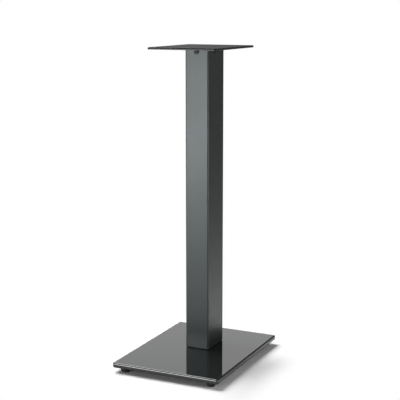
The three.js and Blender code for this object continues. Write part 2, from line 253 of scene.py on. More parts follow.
def buildTurningTree():
    # spins the profile's points about Z, cuts hexagons and threads where the profile asks, and
    # sets a copy at each place
    tree = bpy.data.node_groups.new("turnedRow", "GeometryNodeTree")
    sockets = {}
    for label, kind in (
        ("Places", "NodeSocketGeometry"), ("Profile", "NodeSocketObject"),
        ("Sides", "NodeSocketInt"), ("Thread Pitch", "NodeSocketFloat"),
        ("Thread Depth", "NodeSocketFloat"), ("Finish", "NodeSocketMaterial"),
    ):
        socket = tree.interface.new_socket(label, in_out="INPUT", socket_type=kind)
        sockets[label] = socket.identifier
    tree.interface.new_socket("Pieces", in_out="OUTPUT", socket_type="NodeSocketGeometry")
    given = tree.nodes.new("NodeGroupInput").outputs
    profile = addNode(
        tree, "GeometryNodeObjectInfo", {"Object": given["Profile"]},
    ).outputs["Geometry"]
    pointCount = addNode(
        tree, "GeometryNodeAttributeDomainSize", {"Geometry": profile}, component="MESH",
    ).outputs["Point Count"]
    grid = addNode(tree, "GeometryNodeMeshGrid", {
        "Vertices X": calc(tree, "ADD", given["Sides"], 1), "Vertices Y": pointCount,
    }).outputs["Mesh"]

    # the grid's vertices run along the profile first, and then on to the next column
    index = tree.nodes.new("GeometryNodeInputIndex").outputs[0]
    along = calc(tree, "FLOORED_MODULO", index, pointCount)
    column = calc(tree, "FLOOR", calc(tree, "DIVIDE", calc(tree, "ADD", index, 0.5), pointCount))
    angle = calc(tree, "MULTIPLY", calc(tree, "DIVIDE", column, given["Sides"]), fullTurn)

    def sampled(value, kind="FLOAT"):
        inputs = {"Geometry": profile, "Value": value, "Index": along}
        return addNode(
            tree, "GeometryNodeSampleIndex", inputs, data_type=kind, domain="POINT",
        ).outputs[0]

    def marked(label, kind="FLOAT"):
        return addNode(
            tree, "GeometryNodeInputNamedAttribute", {"Name": label}, data_type=kind,
        ).outputs["Attribute"]

    position = tree.nodes.new("GeometryNodeInputPosition").outputs[0]
    place = splitAxes(tree, sampled(position, "FLOAT_VECTOR"))
    hexagon = sampled(marked("hexagon"))
    thread = sampled(marked("thread"))
    worn = sampled(marked("worn"))

    # a hexagon's flat, as a share of its corner's radius
    halfSector = math.pi / 6
    sector = calc(tree, "FLOORED_MODULO", angle, 2 * halfSector)
    sector = calc(tree, "SUBTRACT", sector, halfSector)
    flat = calc(tree, "DIVIDE", math.cos(halfSector), calc(tree, "COSINE", sector))
    hexScale = calc(tree, "MULTIPLY", hexagon, calc(tree, "SUBTRACT", flat, 1))
    hexScale = calc(tree, "ADD", 1, hexScale)

    # a thread's depth, from 0 at the crest to 1 at the root
    turns = calc(tree, "DIVIDE", place["Z"], given["Thread Pitch"])
    turns = calc(tree, "ADD", turns, calc(tree, "DIVIDE", angle, fullTurn))
    slope = calc(tree, "ABSOLUTE", calc(tree, "SUBTRACT", calc(tree, "FRACT", turns), 0.5))
    groove = calc(tree, "MULTIPLY", slope, 2)
    cutDepth = calc(tree, "MULTIPLY", thread, given["Thread Depth"])
    cutDepth = calc(tree, "MULTIPLY", cutDepth, groove)

    radius = calc(tree, "SUBTRACT", calc(tree, "MULTIPLY", place["X"], hexScale), cutDepth)
    spun = joinAxes(
        tree, calc(tree, "MULTIPLY", radius, calc(tree, "COSINE", angle)),
        calc(tree, "MULTIPLY", radius, calc(tree, "SINE", angle)), place["Z"],
    )
    shaped = addNode(
        tree, "GeometryNodeSetPosition", {"Geometry": grid, "Position": spun},
    ).outputs["Geometry"]
    marks = addNode(
        tree, "GeometryNodeStoreNamedAttribute",
        {"Geometry": shaped, "Name": "worn", "Value": worn}, data_type="FLOAT", domain="POINT",
    ).outputs["Geometry"]
    closed = addNode(
        tree, "GeometryNodeMergeByDistance", {"Geometry": marks, "Distance": weldDistance},
    ).outputs["Geometry"]
    turned = addNode(
        tree, "FunctionNodeEulerToRotation", {"Euler": marked("turned", "FLOAT_VECTOR")},
    ).outputs[0]
    copies = addNode(tree, "GeometryNodeInstanceOnPoints", {
        "Points": given["Places"], "Instance": closed, "Rotation": turned,
    }).outputs["Instances"]
    real = addNode(
        tree, "GeometryNodeRealizeInstances", {"Geometry": copies},
    ).outputs["Geometry"]
    finished = addNode(
        tree, "GeometryNodeSetMaterial", {"Geometry": real, "Material": given["Finish"]},
    ).outputs["Geometry"]
    addNode(tree, "NodeGroupOutput", {"Pieces": finished})
    return tree, sockets


turningTree, turningSockets = buildTurningTree()


def turnedRow(name, profile, places, finish, sides=48, threadPitch=1.0 * mm, threadDepth=0.0):
    # profile: rows of (radius, height, hexagon, thread, worn), the last three from 0 to 1
    # places: rows of (point, turn)
    outline = bpy.data.meshes.new(name + "Profile")
    points = [(row[0], 0, row[1]) for row in profile]
    outline.from_pydata(points, [(i, i + 1) for i in range(len(points) - 1)], [])
    for column, label in enumerate(("hexagon", "thread", "worn"), 2):
        values = outline.attributes.new(label, "FLOAT", "POINT").data
        for i, row in enumerate(profile):
            values[i].value = row[column] if len(row) > column else 0
    pattern = newObject(name + "Profile", outline)
    spots = bpy.data.meshes.new(name)
    spots.from_pydata([tuple(point) for point, turn in places], [], [])
    turned = spots.attributes.new("turned", "FLOAT_VECTOR", "POINT").data
    for i, (point, turn) in enumerate(places):
        turned[i].vector = turn
    thing = newObject(name, spots)
    modifier = thing.modifiers.new("turnedRow", "NODES")
    modifier.node_group = turningTree
    for label, value in (
        ("Profile", pattern), ("Sides", sides), ("Thread Pitch", threadPitch),
        ("Thread Depth", threadDepth), ("Finish", finish),
    ):
        modifier[turningSockets[label]] = value
    bakeModifiers(thing)
    bpy.data.objects.remove(pattern)
    smoothShade(thing, 32)
    return thing


def arcPoints(centreRadius, centreHeight, radius, fromDegrees, toDegrees, steps):
    points = []
    for i in range(steps + 1):
        angle = math.radians(fromDegrees + (toDegrees - fromDegrees) * i / steps)
        points.append((
            centreRadius + radius * math.cos(angle), centreHeight + radius * math.sin(angle),
        ))
    return points


def startMaterial(name):
    material = bpy.data.materials.new(name)
    material.use_nodes = True
    tree = material.node_tree
    tree.nodes.clear()
    shader = tree.nodes.new("ShaderNodeBsdfPrincipled")
    addNode(tree, "ShaderNodeOutputMaterial", {"Surface": shader.outputs["BSDF"]})
    return material, tree, shader, tree.nodes.new("ShaderNodeTexCoord").outputs["Object"]


def noise(tree, place, scale, detail=2.0, roughness=0.5, stretch=None):
    if stretch:
        place = addNode(
            tree, "ShaderNodeMapping", {"Vector": place, "Scale": stretch},
        ).outputs["Vector"]
    inputs = {"Vector": place, "Scale": scale, "Detail": detail, "Roughness": roughness}
    return addNode(tree, "ShaderNodeTexNoise", inputs).outputs["Fac"]


def spreadNoise(tree, value, low, high):
    # most of a noise texture lies between 0.3 and 0.7
    return remap(tree, value, 0.3, 0.7, low, high)


def aroundNoise(tree, value, centre, swing):
    return spreadNoise(tree, value, centre - swing, centre + swing)


def blendColours(tree, factor, first, second):
    # a colour mix has its factor in socket 0 and its two colours in 6 and 7
    node = addNode(tree, "ShaderNodeMix", data_type="RGBA")
    tree.links.new(factor, node.inputs[0])
    for socket, value in ((node.inputs[6], first), (node.inputs[7], second)):
        if isinstance(value, bpy.types.NodeSocket):
            tree.links.new(value, socket)
        else:
            socket.default_value = (*value, 1)
    return node.outputs[2]


def addBump(tree, shader, height, distance):
    bump = addNode(tree, "ShaderNodeBump", {
        "Height": height, "Distance": distance, "Strength": 1.0,
    })
    tree.links.new(bump.outputs["Normal"], shader.inputs["Normal"])


def setShader(tree, shader, **values):
    for label, value in values.items():
        socket = shader.inputs[label.replace("_", " ")]
        if isinstance(value, bpy.types.NodeSocket):
            tree.links.new(value, socket)
        else:
            socket.default_value = (*value, 1) if isinstance(value, tuple) else value


def makeGlass(name, look):
    material, tree, shader, place = startMaterial(name)
    axes = splitAxes(tree, place)
    low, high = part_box("base_plate")
    outX = calc(tree, "SUBTRACT", calc(tree, "ABSOLUTE", axes["X"]), high.x)
    outY = calc(tree, "SUBTRACT", calc(tree, "ABSOLUTE", axes["Y"]), high.y)
    out = calc(tree, "MAXIMUM", outX, outY)
    # towards the outline the body turns to the darker edge colour: painted shade along the glass
    # edge
    shadeAtRim = remap(tree, out, -look["rimFrom"], -look["rimTo"], 0, 1, "SMOOTHSTEP")
    specks = addNode(tree, "ShaderNodeTexVoronoi", {
        "Vector": place, "Scale": look["speckScale"], "Randomness": 1.0,
    }).outputs["Distance"]
    specks = remap(tree, specks, *look["speckEdge"], 1, 0)
    dustyPatches = noise(tree, place, look["patchScale"])
    dustyPatches = remap(tree, dustyPatches, *look["patchEdge"], 0, look["dustShare"])
    dust = calc(tree, "MULTIPLY", specks, dustyPatches)
    wiped = noise(tree, place, look["wipeScale"], 5.0, 0.6, look["wipeStretch"])
    wiped = remap(tree, wiped, *look["wipeEdge"], 0, 1)
    body = blendColours(tree, shadeAtRim, look["body"], look["edge"])
    haze = calc(tree, "MULTIPLY_ADD", wiped, look["wipeRoughness"], look["roughness"])
    dustHaze = calc(tree, "MULTIPLY", dust, look["dustRoughness"])
    setShader(
        tree, shader,
        Base_Color=blendColours(tree, dust, body, look["dust"]),
        Roughness=calc(tree, "ADD", haze, dustHaze),
        IOR=look["ior"],
    )
    addBump(tree, shader, noise(tree, place, look["waveScale"], 1.0), look["waveDepth"])
    return material


def makePaint(name, look):
    material, tree, shader, place = startMaterial(name)
    peel = noise(tree, place, look["peelScale"])
    grit = noise(tree, place, look["gritScale"], 3.0, 0.6)
    cloudy = noise(tree, place, look["cloudScale"], 3.0, 0.55)
    tint = blendColours(tree, spreadNoise(tree, grit, 0, 1), look["dark"], look["light"])
    clouds = spreadNoise(tree, cloudy, look["smoothest"], look["roughest"])
    setShader(
        tree, shader,
        Base_Color=tint,
        Roughness=calc(tree, "ADD", clouds, aroundNoise(tree, grit, 0, look["gritSwing"])),
        IOR=look["ior"],
        Specular_IOR_Level=look["specular"],
        Specular_Tint=look["specularTint"],
    )
    peelHeight = calc(tree, "MULTIPLY", peel, look["peelShare"])
    gritHeight = calc(tree, "MULTIPLY", grit, 1 - look["peelShare"])
    addBump(tree, shader, calc(tree, "ADD", peelHeight, gritHeight), look["depth"])
    return material


# what all rubbers share, and all metals
rubberGrain = {"patchScale": 120.0, "patchEdge": (0.45, 0.8), "swing": 0.06, "specular": 0.35}
metalGrain = {
    "mottleEdge": (0.35, 0.65), "swing": 0.07,
    "rubScale": 900.0, "rubEdge": (0.35, 0.6), "rubLeast": 0.2,
}


def makeRubber(name, look):
    material, tree, shader, place = startMaterial(name)
    grain = noise(tree, place, look["grainScale"], 3.0, 0.6)
    patches = noise(tree, place, rubberGrain["patchScale"], 3.0, 0.6)
    patches = remap(tree, patches, *rubberGrain["patchEdge"], 0, 1)
    dusty = calc(tree, "MULTIPLY", patches, look["dustShare"])
    setShader(
        tree, shader,
        Base_Color=blendColours(tree, dusty, look["body"], look["dust"]),
        Roughness=aroundNoise(tree, grain, look["roughness"], rubberGrain["swing"]),
        Specular_IOR_Level=rubberGrain["specular"],
    )
    addBump(tree, shader, grain, look["depth"])
    return material


def makeMetal(name, look):
    material, tree, shader, place = startMaterial(name)
    grain = noise(tree, place, look["grainScale"], 3.0, 0.6, look.get("stretch"))
    mottle = noise(tree, place, look["mottleScale"], 3.0, 0.55)
    mottle = remap(tree, mottle, *metalGrain["mottleEdge"], 0, 1)
    tint = blendColours(tree, mottle, look["dark"], look["light"])
    worn = addNode(tree, "ShaderNodeAttribute", attribute_name="worn").outputs["Fac"]
    patchy = noise(tree, place, metalGrain["rubScale"])
    patchy = remap(tree, patchy, *metalGrain["rubEdge"], metalGrain["rubLeast"], 1)
    rubbed = calc(tree, "MULTIPLY", worn, patchy)
    setShader(
        tree, shader,
        Base_Color=blendColours(tree, rubbed, tint, look["worn"]),
        Metallic=look["metallic"],
        Roughness=aroundNoise(tree, grain, look["roughness"], metalGrain["swing"]),
    )
    addBump(tree, shader, grain, look["depth"])
    return material


def makeNylon(name, look):
    material, tree, shader, place = startMaterial(name)
    flow = noise(tree, place, look["flowScale"], 3.0, 0.5, look["flowStretch"])
    shade = remap(tree, flow, *look["flowEdge"], 0, 1)
    setShader(
        tree, shader,
        Base_Color=blendColours(tree, shade, look["dark"], look["light"]),
        Roughness=spreadNoise(tree, flow, look["smoothest"], look["roughest"]),
        Subsurface_Weight=look["subsurface"], Subsurface_Scale=look["depthOfLight"],
    )
    addBump(tree, shader, noise(tree, place, look["grainScale"]), look["depth"])
    return material


finishes = {
    "glass": makeGlass("polishedBlackGlass", {
        # edge: a darker colour painted near the outline as shade for the edge's dark line
        "body": (0.015, 0.017, 0.017), "edge": (0.008, 0.010, 0.009),
        "roughness": 0.018, "ior": 1.52, "waveScale": 11.0, "waveDepth": 0.01 * mm,
        "rimFrom": 1.6 * mm, "rimTo": 0.3 * mm,  # inside the outline, where the edge colour's painted shade fades in
        "dust": (0.11, 0.11, 0.105), "dustShare": 0.5, "dustRoughness": 0.5,
        "speckScale": 170.0, "speckEdge": (0.03, 0.05),
        "patchScale": 9.0, "patchEdge": (0.45, 0.7),
        "wipeScale": 14.0, "wipeStretch": (1.0, 0.25, 1.0), "wipeEdge": (0.42, 0.75),
        "wipeRoughness": 0.025,
    }),
    "columnPaint": makePaint("satinColumnPaint", {
        "dark": (0.012, 0.014, 0.014), "light": (0.017, 0.019, 0.019),
        "smoothest": 0.35, "roughest": 0.385, "gritSwing": 0.02,
        "ior": 1.5, "specular": 0.5, "specularTint": (0.9, 0.99, 1.0),
        "peelScale": 620.0, "gritScale": 3200.0, "cloudScale": 7.0,
        "peelShare": 0.85, "depth": 0.012 * mm,
    }),
    "platePaint": makePaint("texturedPlatePaint", {
        "dark": (0.009, 0.0095, 0.010), "light": (0.015, 0.0155, 0.016),
        "smoothest": 0.35, "roughest": 0.385, "gritSwing": 0.02,
        "ior": 1.5, "specular": 0.4, "specularTint": (1.0, 1.0, 1.0),
        "peelScale": 1100.0, "gritScale": 3600.0, "cloudScale": 7.0,
        "peelShare": 0.5, "depth": 0.03 * mm,
    }),
    "footRubber": makeRubber("mouldedRubber", {
        "body": (0.012, 0.012, 0.012), "roughness": 0.8,
        "dust": (0.06, 0.058, 0.054), "dustShare": 0.3,
        "grainScale": 1800.0, "depth": 0.03 * mm,
    }),
    "gasketRubber": makeRubber("gasketRubber", {
        "body": (0.010, 0.010, 0.011), "roughness": 0.7,
        "dust": (0.04, 0.039, 0.037), "dustShare": 0.2,
        "grainScale": 2600.0, "depth": 0.02 * mm,
    }),
    "foam": makeRubber("adhesiveFoam", {
        "body": (0.016, 0.016, 0.016), "roughness": 0.92,
        "dust": (0.05, 0.05, 0.048), "dustShare": 0.25,
        "grainScale": 3800.0, "depth": 0.08 * mm,
    }),
    "castAlloy": makeMetal("castAlloy", {
        "dark": (0.42, 0.43, 0.44), "light": (0.56, 0.57, 0.58), "worn": (0.7, 0.7, 0.7),
        "metallic": 0.95, "roughness": 0.48,
        "grainScale": 700.0, "mottleScale": 90.0, "depth": 0.1 * mm,
    }),
    "zinc": makeMetal("zincPlate", {
        "dark": (0.5, 0.51, 0.54), "light": (0.62, 0.63, 0.64), "worn": (0.42, 0.41, 0.4),
        "metallic": 1.0, "roughness": 0.3, "stretch": (1.0, 0.06, 1.0),
        "grainScale": 1500.0, "mottleScale": 45.0, "depth": 0.01 * mm,
    }),
    "blackScrew": makeMetal("blackZinc", {
        "dark": (0.004, 0.004, 0.005), "light": (0.009, 0.009, 0.010),
        "worn": (0.05, 0.05, 0.05), "metallic": 0.1, "roughness": 0.5,
        "grainScale": 2600.0, "mottleScale": 400.0, "depth": 0.01 * mm,
    }),
    "nylon": makeNylon("naturalNylon", {
        "dark": (0.55, 0.53, 0.47), "light": (0.64, 0.62, 0.56),
        "smoothest": 0.4, "roughest": 0.5, "subsurface": 0.25, "depthOfLight": 1 * mm,
        "flowScale": 260.0, "flowStretch": (1.0, 1.0, 0.2), "flowEdge": (0.35, 0.65),
        "grainScale": 2500.0, "depth": 0.01 * mm,
    }),
}
print("materials made:", len(finishes))


glassBase = {
    "cornerRadius": 4 * mm, "cornerSteps": 16,
    "topRound": 2.8 * mm, "lean": 12, "flat": 0.7 * mm, "sideRound": 2 * mm,
    "holeRadius": 5.6 * mm, "holeSides": 48, "arris": 0.5 * mm,
}
baseLow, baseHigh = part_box("base_plate")


def makeBase(look):
    radius, arris = look["holeRadius"], look["arris"]
    rings = [
        (radius + arris, baseHigh.z), (radius, baseHigh.z - arris),
        (radius, baseLow.z + arris), (radius + arris, baseLow.z),
    ]
    holes = [
        {"at": middle(bush), "sides": look["holeSides"], "through": True, "rings": rings}
        for bush in nodeNames("bolt_bush", corners)
    ]
    edge = steepEdge(look)
    thing = roundedSlab("glassBase", baseLow, baseHigh, look, edge, edge, holes)
    smoothShade(thing)
    mountPiece(thing, ["base_plate"], finishes["glass"])


makeBase(glassBase)


# the column is a tube with screw holes and cable holes, made by Geometry Nodes
columnTube = {
    "Wall": 2 * mm, "Corner Radius": 3 * mm, "Corner Steps": 10,
    "Screw Hole Radius": 2.8 * mm, "Screw Drop": 5.5 * mm,
    "Cable Hole Radius": 12.3 * mm, "Cable Hole Rise": 60 * mm, "Cable Hole Drop": 60 * mm,
}
columnCuts = {"overrun": 10 * mm, "cableDrill": 20 * mm, "sides": 64}
columnDeburr = {"width": 0.25 * mm, "segments": 2, "degrees": 50}
columnLow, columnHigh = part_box("column")
columnAxis = (columnLow + columnHigh) / 2


def buildColumnTree():
    tree = bpy.data.node_groups.new("drilledTube", "GeometryNodeTree")
    sockets = {}
    for label in ("Width", "Depth", "Length", *columnTube, "Paint"):
        kind = {"Corner Steps": "Int", "Paint": "Material"}.get(label, "Float")
        socket = tree.interface.new_socket(
            label, in_out="INPUT", socket_type="NodeSocket" + kind,
        )
        sockets[label] = socket.identifier
    tree.interface.new_socket("Tube", in_out="OUTPUT", socket_type="NodeSocketGeometry")
    given = tree.nodes.new("NodeGroupInput").outputs

    def prism(width, depth, radius, low, high):
        box = addNode(tree, "GeometryNodeCurvePrimitiveQuadrilateral", {
            "Width": width, "Height": depth,
        }).outputs["Curve"]
        rounded = addNode(tree, "GeometryNodeFilletCurve", {
            "Curve": box, "Count": given["Corner Steps"], "Radius": radius,
        }, mode="POLY").outputs["Curve"]
        path = addNode(tree, "GeometryNodeCurvePrimitiveLine", {
            "Start": joinAxes(tree, 0, 0, low), "End": joinAxes(tree, 0, 0, high),
        }).outputs["Curve"]
        return addNode(tree, "GeometryNodeCurveToMesh", {
            "Curve": path, "Profile Curve": rounded, "Fill Caps": True,
        }).outputs["Mesh"]

    def drill(radius, length, turn, place):
        bar = addNode(tree, "GeometryNodeMeshCylinder", {
            "Vertices": columnCuts["sides"], "Radius": radius, "Depth": length,
        }).outputs["Mesh"]
        return addNode(tree, "GeometryNodeTransform", {
            "Geometry": bar, "Translation": place, "Rotation": turn,
        }).outputs["Geometry"]

    overrun = columnCuts["overrun"]
    wallTwice = calc(tree, "MULTIPLY", given["Wall"], 2)
    outer = prism(given["Width"], given["Depth"], given["Corner Radius"], 0, given["Length"])
    inner = prism(
        calc(tree, "SUBTRACT", given["Width"], wallTwice),
        calc(tree, "SUBTRACT", given["Depth"], wallTwice),
        calc(tree, "SUBTRACT", given["Corner Radius"], given["Wall"]),
        -overrun, calc(tree, "ADD", given["Length"], overrun),
    )
    screwHeight = calc(tree, "SUBTRACT", given["Length"], given["Screw Drop"])
    screwPlace = joinAxes(tree, 0, 0, screwHeight)
    alongY, alongX = (quarterTurn, 0, 0), (0, quarterTurn, 0)
    cutters = [inner]
    for span, turn in (("Depth", alongY), ("Width", alongX)):
        length = calc(tree, "ADD", given[span], overrun)
        cutters.append(drill(given["Screw Hole Radius"], length, turn, screwPlace))
    rearFace = calc(tree, "DIVIDE", given["Depth"], 2)
    upperHole = calc(tree, "SUBTRACT", given["Length"], given["Cable Hole Drop"])
    for height in (given["Cable Hole Rise"], upperHole):
        place = joinAxes(tree, 0, rearFace, height)
        length = columnCuts["cableDrill"]
        cutters.append(drill(given["Cable Hole Radius"], length, alongY, place))
    solid = outer
    for cutter in cutters:
        solid = addNode(
            tree, "GeometryNodeMeshBoolean", {"Mesh 1": solid, "Mesh 2": cutter},
            operation="DIFFERENCE", solver="EXACT",
        ).outputs["Mesh"]
    real = addNode(
        tree, "GeometryNodeRealizeInstances", {"Geometry": solid},
    ).outputs["Geometry"]
    painted = addNode(
        tree, "GeometryNodeSetMaterial", {"Geometry": real, "Material": given["Paint"]},
    ).outputs["Geometry"]
    addNode(tree, "NodeGroupOutput", {"Tube": painted})
    return tree, sockets


def makeColumn(look):
    tree, sockets = buildColumnTree()
    thing = newObject("columnTube", bpy.data.meshes.new("columnTube"))
    modifier = thing.modifiers.new("drilledTube", "NODES")
    modifier.node_group = tree
    size = columnHigh - columnLow
    given = {"Width": size.x, "Depth": size.y, "Length": size.z, **look}
    for label, value in {**given, "Paint": finishes["columnPaint"]}.items():
        modifier[sockets[label]] = value
    bakeModifiers(thing)
    smoothShade(thing, weighted=False)
    softened = thing.modifiers.new("deburred", "BEVEL")
    softened.width = columnDeburr["width"]
    softened.segments = columnDeburr["segments"]
    softened.limit_method = "ANGLE"
    softened.angle_limit = math.radians(columnDeburr["degrees"])
    softened.use_clamp_overlap = True
    bakeModifiers(thing)
    thing.data.transform(Matrix.Translation((columnAxis.x, columnAxis.y, columnLow.z)))
    smoothShade(thing, columnDeburr["degrees"])
    mountPiece(thing, ["column"])


makeColumn(columnTube)


columnGasket = {
    "cornerRadius": 3 * mm, "cornerSteps": 8, "edgeRound": 0.4 * mm, "edgeSteps": 3,
    "holeRadius": 3.3 * mm, "holeSides": 32,
}
gasketLow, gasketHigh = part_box("column_gasket")
boltSpots = [middle(bolt) for bolt in nodeNames("base_bolt", corners)]


def makeGasket(look):
    radius = look["holeRadius"]
    rings = [(radius, gasketHigh.z), (radius, gasketLow.z)]
    holes = [
        {"at": spot, "sides": look["holeSides"], "through": True, "rings": rings}
        for spot in boltSpots
    ]
    edge = roundEdge(look["edgeRound"], look["edgeSteps"])
    thing = roundedSlab("columnGasket", gasketLow, gasketHigh, look, edge, edge, holes)
    smoothShade(thing)
    mountPiece(thing, ["column_gasket"], finishes["gasketRubber"])


makeGasket(columnGasket)


# the top plate has a countersink, and pockets underneath for the fitting's spigots
topPlate = {
    "cornerRadius": 6 * mm, "cornerSteps": 12,
    "topRound": 0.3 * mm, "lean": 14, "flat": 1.8 * mm, "sideRound": 1 * mm,
    "lowerRound": 0.4 * mm, "lowerSteps": 5,
    "boreRadius": 3.3 * mm, "sinkRadius": 6.3 * mm, "sinkSides": 64,
    "headSink": 0.25 * mm, "sinkFloor": 0.5 * mm, "arris": 0.15 * mm,
    "pocketRadius": 2.8 * mm, "pocketDepth": 2.3 * mm, "pocketSides": 32,
    "pocketSpacing": 40 * mm,
}
plateLow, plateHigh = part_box("top_plate")


def makeTopPlate(look):
    sink, bore, arris = look["sinkRadius"], look["boreRadius"], look["arris"]
    holes = [{
        "at": (columnAxis.x, columnAxis.y), "sides": look["sinkSides"], "through": True,
        "rings": [
            (sink + arris, plateHigh.z), (sink, plateHigh.z - arris),
            (sink, plateHigh.z - look["headSink"]),
            (bore, plateLow.z + look["sinkFloor"]), (bore, plateLow.z),
        ],
    }]
    pocket = look["pocketRadius"]
    for side in (-1, 1):
        holes.append({
            "at": (columnAxis.x, columnAxis.y + side * look["pocketSpacing"] / 2),
            "sides": look["pocketSides"], "through": False,
            "rings": [(pocket, plateLow.z + look["pocketDepth"]), (pocket, plateLow.z)],
        })
    upperEdge = steepEdge(look)
    lowerEdge = roundEdge(look["lowerRound"], look["lowerSteps"])
    thing = roundedSlab("topPlate", plateLow, plateHigh, look, upperEdge, lowerEdge, holes)
    smoothShade(thing)
    mountPiece(thing, ["top_plate"], finishes["platePaint"])


makeTopPlate(topPlate)


def standOn(stem):
    spots = []
    for node in nodeNames(stem, corners):
        centre = middle(node)
        spots.append(((centre.x, centre.y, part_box(node)[0].z), (0, 0, 0)))
    return spots


rubberFoot = {
    "topRadius": 10 * mm, "soleRadius": 7.5 * mm, "height": 8 * mm,
    "round": 1 * mm, "roundSteps": 8, "sideLean": 8,
    "dishRadius": 4 * mm, "dishDepth": 1.5 * mm,
    "floorBreak": (0.4 * mm, 0.2 * mm), "mouthInside": (0.1 * mm, 0.2 * mm),
    "mouthOutside": 0.05 * mm,
    "grooves": 2, "groovePitch": 0.55 * mm, "grooveHalf": 0.12 * mm, "grooveDepth": 0.15 * mm,
    # rows of (inset, drop) from the collar under the glass
    "collar": (
        (0.75 * mm, 1.6 * mm), (0.12 * mm, 1.1 * mm), (0, 0.8 * mm), (0, 0.25 * mm),
        (0.25 * mm, 0),
    ),
}
footDisc = {"bulge": 0.12 * mm, "shoulder": 0.03 * mm, "shoulderShare": 0.3}


def footProfile(look):
    edge = look["round"]
    dish, depth = look["dishRadius"], look["dishDepth"]
    floorInset, floorDrop = look["floorBreak"]
    mouth = dish + depth / 2
    mouthInset, mouthRise = look["mouthInside"]
    profile = [(0, depth), (dish - floorInset, depth), (dish, depth - floorDrop)]
    profile += [(mouth - mouthInset, mouthRise), (mouth + look["mouthOutside"], 0)]
    half = look["grooveHalf"]
    for step in range(look["grooves"]):  # fine grip rings in the sole
        ring = mouth + (step + 1) * look["groovePitch"]
        profile += [(ring - half, 0), (ring, look["grooveDepth"]), (ring + half, 0)]
    sole = look["soleRadius"] - edge
    profile += arcPoints(sole, edge, edge, -90, look["sideLean"], look["roundSteps"])
    for inset, drop in look["collar"]:
        profile.append((look["topRadius"] - inset, look["height"] - drop))
    profile.append((0, look["height"]))
    return profile


def discProfile(look):
    low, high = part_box("foot_disc_front_left")
    radius = (high.x - low.x) / 2
    height = high.z - low.z
    end = radius - look["bulge"]
    shoulder = radius - look["shoulder"]
    share = look["shoulderShare"]
    return [
        (0, 0), (end, 0), (shoulder, height * share), (radius, height / 2),
        (shoulder, height * (1 - share)), (end, height), (0, height),
    ]


feet = turnedRow(
    "rubberFeet", footProfile(rubberFoot), standOn("foot"), finishes["footRubber"], sides=64,
)
mountPiece(feet, nodeNames("foot", corners))
discs = turnedRow(
    "footDiscs", discProfile(footDisc), standOn("foot_disc"), finishes["foam"], sides=64,
)
mountPiece(discs, nodeNames("foot_disc", corners))


columnScrew = {
    "headRadius": 4.75 * mm, "headHeight": 2.75 * mm, "crownRadius": 2.4 * mm,
    "brimHeight": 0.45 * mm, "socketAcross": 3 * mm, "socketDepth": 1.6 * mm,
    "shankRadius": 2.5 * mm, "shankLength": 9.3 * mm, "seat": 0.3 * mm, "plain": 2.6 * mm,
    "pitch": 0.8 * mm, "threadDepth": 0.45 * mm,
}
baseBolt = {
    "headRadius": 5.25 * mm, "headHeight": 3.3 * mm, "crownRadius": 2.6 * mm,
    "brimHeight": 0.55 * mm, "socketAcross": 4 * mm, "socketDepth": 2 * mm,
    "shankRadius": 3 * mm, "shankLength": 20 * mm, "seat": 0.0, "plain": 2 * mm,
    "pitch": 1.0 * mm, "threadDepth": 0.55 * mm,
}
topScrew = {
    "headRadius": 6 * mm, "headDepth": 3.25 * mm, "land": 0.3 * mm,
    "socketAcross": 4 * mm, "socketDepth": 2 * mm, "socketLand": 0.6 * mm,
    "rimBreak": 0.12 * mm, "shankRadius": 3 * mm, "shankLength": 15.75 * mm,
    "pitch": 1.0 * mm, "threadDepth": 0.55 * mm,
}
# what all screws share
screwDetail = {
    "coneDepth": 0.25 * mm, "coneShare": 0.8,  # the drill point under the socket
    "mouthDepth": 0.2 * mm, "mouthFlare": 0.22 * mm, "brimBreak": 0.15 * mm,
    "neckRound": 0.25 * mm, "threadStart": 0.1 * mm, "sinkThreadStart": 0.3 * mm,
    "tip": 0.5 * mm, "headSteps": 10, "crownWear": 0.35, "headWear": 0.05,
    "turnSteps": 6, "runIn": 6, "runOut": 3,  # profile points per turn, and along the thread's ends
}


def socketProfile(look, top):
    radius = look["socketAcross"] / math.sqrt(3)
    floor = top + look["socketDepth"]
    return [
        (0, floor + screwDetail["coneDepth"]),
        (radius * screwDetail["coneShare"], floor, 1, 0, 0), (radius, floor, 1, 0, 0.1),
        (radius, top + screwDetail["mouthDepth"], 1, 0, 0.5),
        (radius + screwDetail["mouthFlare"], top, 0.6, 0, 1),
    ]


def shankProfile(look, start):
    # a threaded shank from the given height to its tip
    radius, length, tip = look["shankRadius"], look["shankLength"], screwDetail["tip"]
    end = length - tip
    count = round((end - start) / look["pitch"] * screwDetail["turnSteps"])
    profile = []
    for i in range(count + 1):
        thread = min(1, i / screwDetail["runIn"], (count - i) / screwDetail["runOut"])
        profile.append((radius, start + (end - start) * i / count, 0, thread, 0))
    return profile + [(radius - tip, length), (0, length)]


def buttonProfile(look):
    # heights grow into the hole, so the head's crown lies below zero
    top = -look["headHeight"]
    crown, head, brim = look["crownRadius"], look["headRadius"], look["brimHeight"]
    seat, shank = look["seat"], look["shankRadius"]
    edge, neck = screwDetail["brimBreak"], screwDetail["neckRound"]
    profile = socketProfile(look, top)
    for i in range(screwDetail["headSteps"] + 1):
        angle = math.radians(90 * i / screwDetail["headSteps"])
        worn = screwDetail["headWear" if i else "crownWear"]
        radius = crown + (head - crown) * math.sin(angle)
        profile.append((radius, -brim + (top + brim) * math.cos(angle), 0, 0, worn))
    profile += [(head, seat - edge, 0, 0, 0.2), (head - edge, seat)]
    profile += [(shank + neck, seat), (shank, seat + neck), (shank, look["plain"])]
    return profile + shankProfile(look, look["plain"] + screwDetail["threadStart"])


def sunkProfile(look):
    head, edge = look["headRadius"], look["rimBreak"]
    inside = look["socketAcross"] / math.sqrt(3) + look["socketLand"]
    profile = socketProfile(look, 0)
    profile += [(inside, 0, 0, 0, 0.1), (head - edge, 0, 0, 0, 0.1), (head, edge, 0, 0, 0.3)]
    profile += [(head, look["land"]), (look["shankRadius"], look["headDepth"])]
    return profile + shankProfile(look, look["headDepth"] + screwDetail["sinkThreadStart"])


